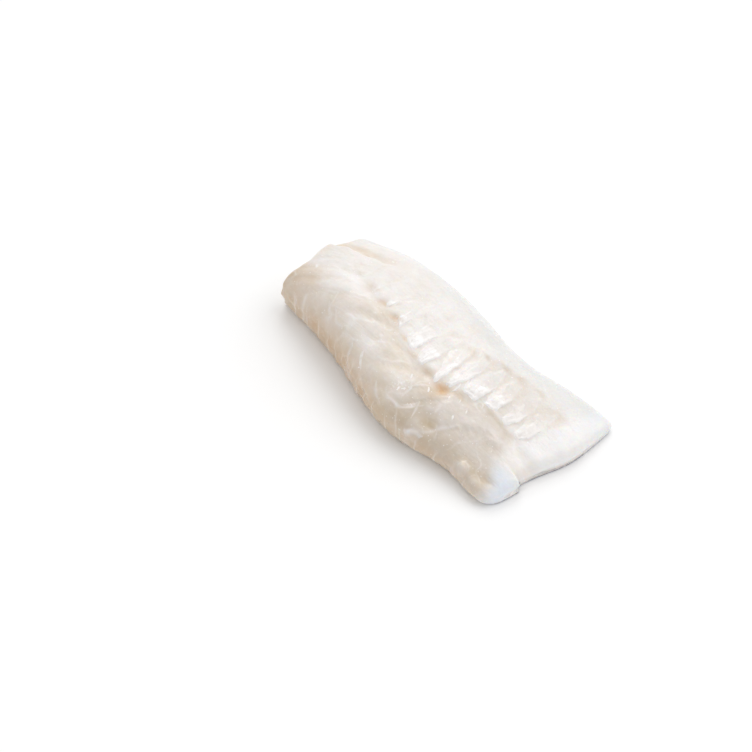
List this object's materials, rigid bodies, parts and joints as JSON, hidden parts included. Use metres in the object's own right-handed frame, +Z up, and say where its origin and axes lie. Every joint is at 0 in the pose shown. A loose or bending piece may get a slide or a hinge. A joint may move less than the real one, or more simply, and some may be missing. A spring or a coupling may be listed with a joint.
{
  "type": "cod loin",
  "caption": "Raw skinless cod loin portion: a thick white fillet piece with overlapping flakes along its seam and a flat underside.",
  "frame": {"origin": "middle of the footprint, on the surface the portion lies on", "axes": "+X along the portion towards its thin end, +Y towards the back edge, +Z up"},
  "size_m": [0.1554, 0.0746, 0.0312],
  "materials": {
    "cod_flesh": "moist, slightly translucent raw fish with glossy flake edges"
  },
  "bodies": {
    "root": {"cod_loin": "cod_flesh"}
  },
  "joints": []
}
